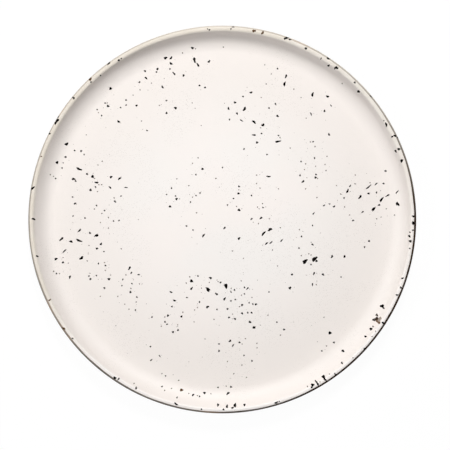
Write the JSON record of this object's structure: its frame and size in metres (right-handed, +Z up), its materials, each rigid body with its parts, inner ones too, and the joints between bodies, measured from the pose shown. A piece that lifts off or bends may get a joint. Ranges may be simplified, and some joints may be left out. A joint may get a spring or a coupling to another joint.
{
  "type": "pizza plate",
  "caption": "Round shallow pizza plate with a flat well, a low sloping wall, a thin rounded lip and a foot ring, in speckled warm white glazed stoneware.",
  "frame": {"origin": "centre of the foot ring's resting face", "axes": "+Z up along the turning axis, out of the well; +X to the right and +Y to the top of the reference view"},
  "size_m": [0.32, 0.32, 0.02],
  "materials": {
    "clay": "matte",
    "glaze": "gloss",
    "oxide": "satin"
  },
  "bodies": {
    "root": {"clay_body": "clay", "foot_ring": "clay", "back_glaze": "glaze", "foot_well_glaze": "glaze", "face_glaze": "glaze", "rim_band": "oxide"}
  },
  "joints": []
}
